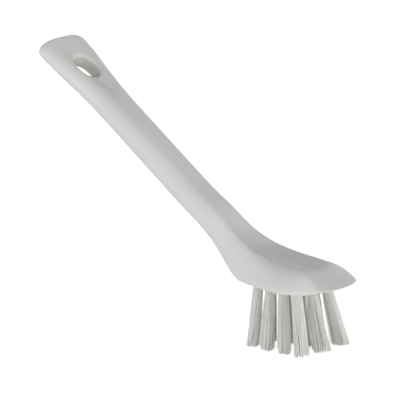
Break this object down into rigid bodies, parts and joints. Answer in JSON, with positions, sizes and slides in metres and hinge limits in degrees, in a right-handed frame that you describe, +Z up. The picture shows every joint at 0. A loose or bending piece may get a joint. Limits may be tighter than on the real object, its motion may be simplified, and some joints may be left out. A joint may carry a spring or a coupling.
{
  "type": "hand brush",
  "caption": "Hand brush with a one-piece moulded handle and head, a scraping front edge, a hanging hole and tufts of stiff white filament.",
  "frame": {"origin": "on the ground under the trimmed filament ends, midway along the brush's horizontal length", "axes": "+X from the handle towards the head's front edge, +Y to the left, +Z up from the filament ends to the head"},
  "size_m": [0.2378, 0.0486, 0.1722],
  "materials": {
    "moulded_plastic": "satin moulded",
    "filament": "satin filament",
    "anchor_steel": "drawn flat wire"
  },
  "bodies": {
    "root": {"handle_body": "moulded_plastic", "tuft_row1_left": "filament", "tuft_row1_middle": "filament", "tuft_row1_right": "filament", "tuft_row2_left": "filament", "tuft_row2_middle": "filament", "tuft_row2_right": "filament", "tuft_row3_left": "filament", "tuft_row3_middle": "filament", "tuft_row3_right": "filament", "tuft_row4_left": "filament", "tuft_row4_middle": "filament", "tuft_row4_right": "filament", "anchor_row1_left": "anchor_steel", "anchor_row1_middle": "anchor_steel", "anchor_row1_right": "anchor_steel", "anchor_row2_left": "anchor_steel", "anchor_row2_middle": "anchor_steel", "anchor_row2_right": "anchor_steel", "anchor_row3_left": "anchor_steel", "anchor_row3_middle": "anchor_steel", "anchor_row3_right": "anchor_steel", "anchor_row4_left": "anchor_steel", "anchor_row4_middle": "anchor_steel", "anchor_row4_right": "anchor_steel"}
  },
  "joints": []
}
